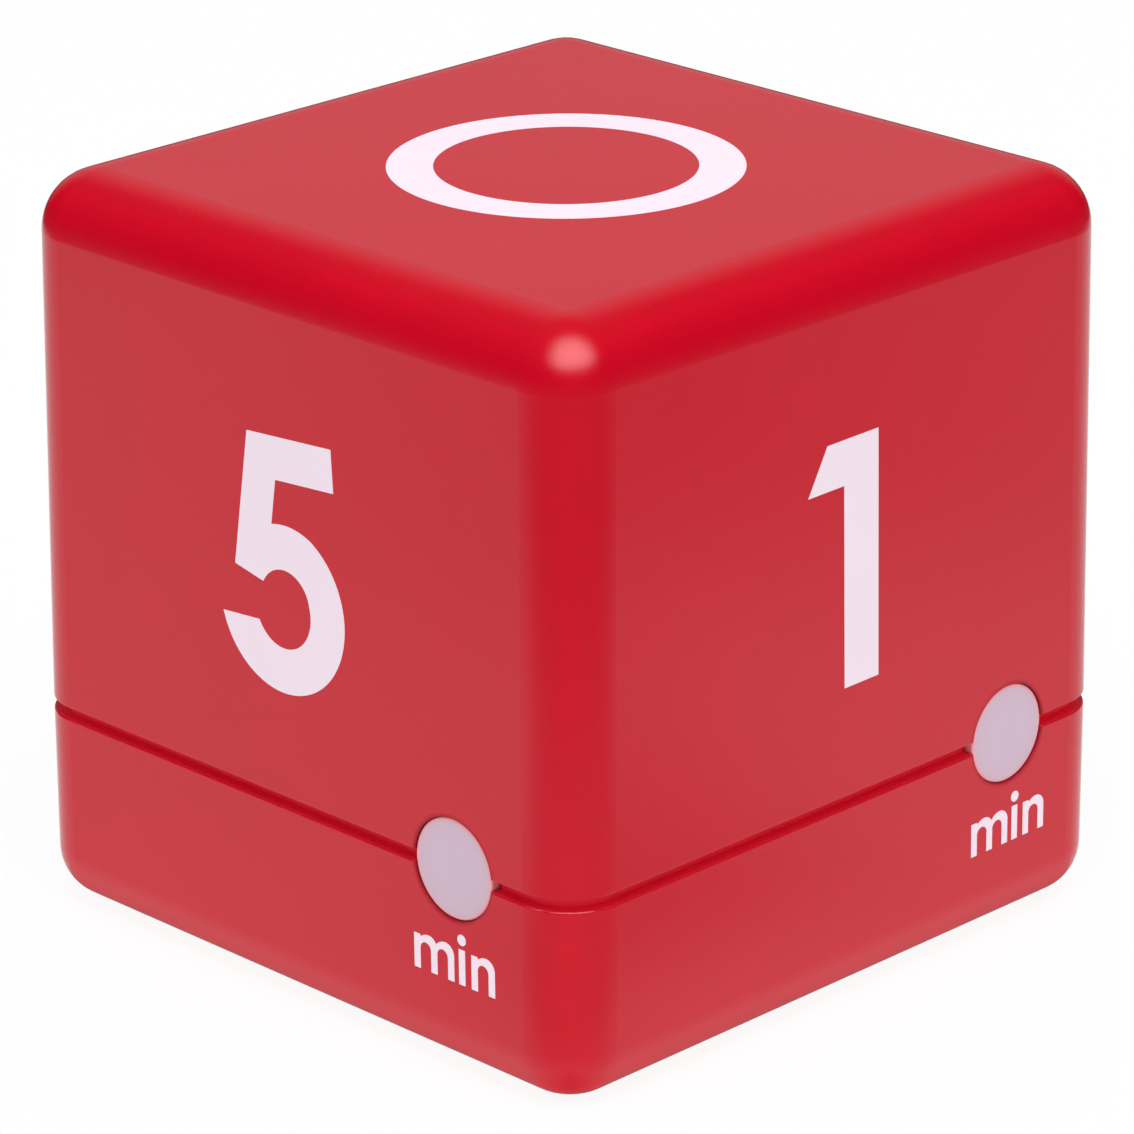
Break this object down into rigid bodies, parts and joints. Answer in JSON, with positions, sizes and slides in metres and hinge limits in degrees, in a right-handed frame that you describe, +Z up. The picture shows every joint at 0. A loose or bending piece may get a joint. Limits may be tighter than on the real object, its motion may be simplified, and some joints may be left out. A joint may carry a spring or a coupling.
{
  "type": "digital cube timer",
  "caption": "Cube timer: turn a numbered face up to start its countdown; signal light in each side, display, buzzer, volume switch and battery door beneath.",
  "frame": {"origin": "centre of the underside, on the surface that the timer stands on", "axes": "+Z up, out of the face with the figure 0; -Y out of the front face with the figure 1; -X out of the left face with the figure 5"},
  "size_m": [0.062, 0.062, 0.062],
  "materials": {
    "case": "fine-grained moulded ABS, saturated red",
    "lens": "milky translucent, polished face",
    "diode": "diffused epoxy",
    "can": "drawn, bare",
    "plug": "black nylon",
    "steel": "polished ball",
    "board": "green solder resist",
    "resin": "black potting resin",
    "ceramic": "chip body with tinned ends",
    "foam": "closed-cell foam",
    "cell": "printed wrap over a metal can",
    "nickel": "nickel plated",
    "window": "clear polished plastic",
    "display_glass": "reflective display, grey green",
    "holder": "white moulded plastic",
    "ribbon": "amber film with dark tracks",
    "black_plastic": "black moulded plastic",
    "brass": "sheet disc",
    "coil": "enamelled copper winding",
    "switch_metal": "tinned sheet",
    "screw_steel": "zinc plated"
  },
  "bodies": {
    "case": {"battery_cell_front": "cell", "battery_cell_rear": "cell", "board_screws": "screw_steel", "buzzer_base": "black_plastic", "buzzer_case": "black_plastic", "buzzer_coil": "coil", "buzzer_disc": "brass", "capacitor": "can", "case_screws": "screw_steel", "chip_resistors": "ceramic", "contact_link": "nickel", "contact_negative": "nickel", "contact_positive": "nickel", "controller": "resin", "crystal": "can", "display_cell": "display_glass", "display_holder": "holder", "display_ribbon": "ribbon", "display_window": "window", "holder_screws": "screw_steel", "light_diode_back": "diode", "light_diode_front": "diode", "light_diode_left": "diode", "light_diode_right": "diode", "light_lens_back": "lens", "light_lens_front": "lens", "light_lens_left": "lens", "light_lens_right": "lens", "lower_shell": "case", "main_board": "board", "spring_link": "nickel", "spring_negative": "nickel", "switch_case": "switch_metal", "tilt_base_back": "plug", "tilt_base_front": "plug", "tilt_base_left": "plug", "tilt_base_right": "plug", "tilt_can_back": "can", "tilt_can_front": "can", "tilt_can_left": "can", "tilt_can_right": "can", "upper_shell": "case"},
    "battery_door": {"battery_door": "case", "door_foam": "foam"},
    "volume_slider": {"volume_slider": "black_plastic", "switch_lever": "plug"},
    "tilt_ball_front": {"tilt_ball_front": "steel"},
    "tilt_ball_left": {"tilt_ball_left": "steel"},
    "tilt_ball_back": {"tilt_ball_back": "steel"},
    "tilt_ball_right": {"tilt_ball_right": "steel"}
  },
  "joints": [
    {"name": "door_hinge", "type": "hinge", "parent": "case", "child": "battery_door", "pos_m": [-0.0252, 0.0097, 0.001], "axis": [0, 1, 0], "range_deg": [0, 80]},
    {"name": "volume_slide", "type": "slide", "parent": "case", "child": "volume_slider", "axis": [0, 1, 0], "range_m": [0, 0.002]},
    {"name": "tilt_roll_front", "type": "slide", "parent": "case", "child": "tilt_ball_front", "axis": [0, -0.9659, 0.2588], "range_m": [0, 0.0025]},
    {"name": "tilt_roll_left", "type": "slide", "parent": "case", "child": "tilt_ball_left", "axis": [-0.9659, 0, 0.2588], "range_m": [0, 0.0025]},
    {"name": "tilt_roll_back", "type": "slide", "parent": "case", "child": "tilt_ball_back", "axis": [0, 0.9659, 0.2588], "range_m": [0, 0.0025]},
    {"name": "tilt_roll_right", "type": "slide", "parent": "case", "child": "tilt_ball_right", "axis": [0.9659, 0, 0.2588], "range_m": [0, 0.0025]}
  ]
}
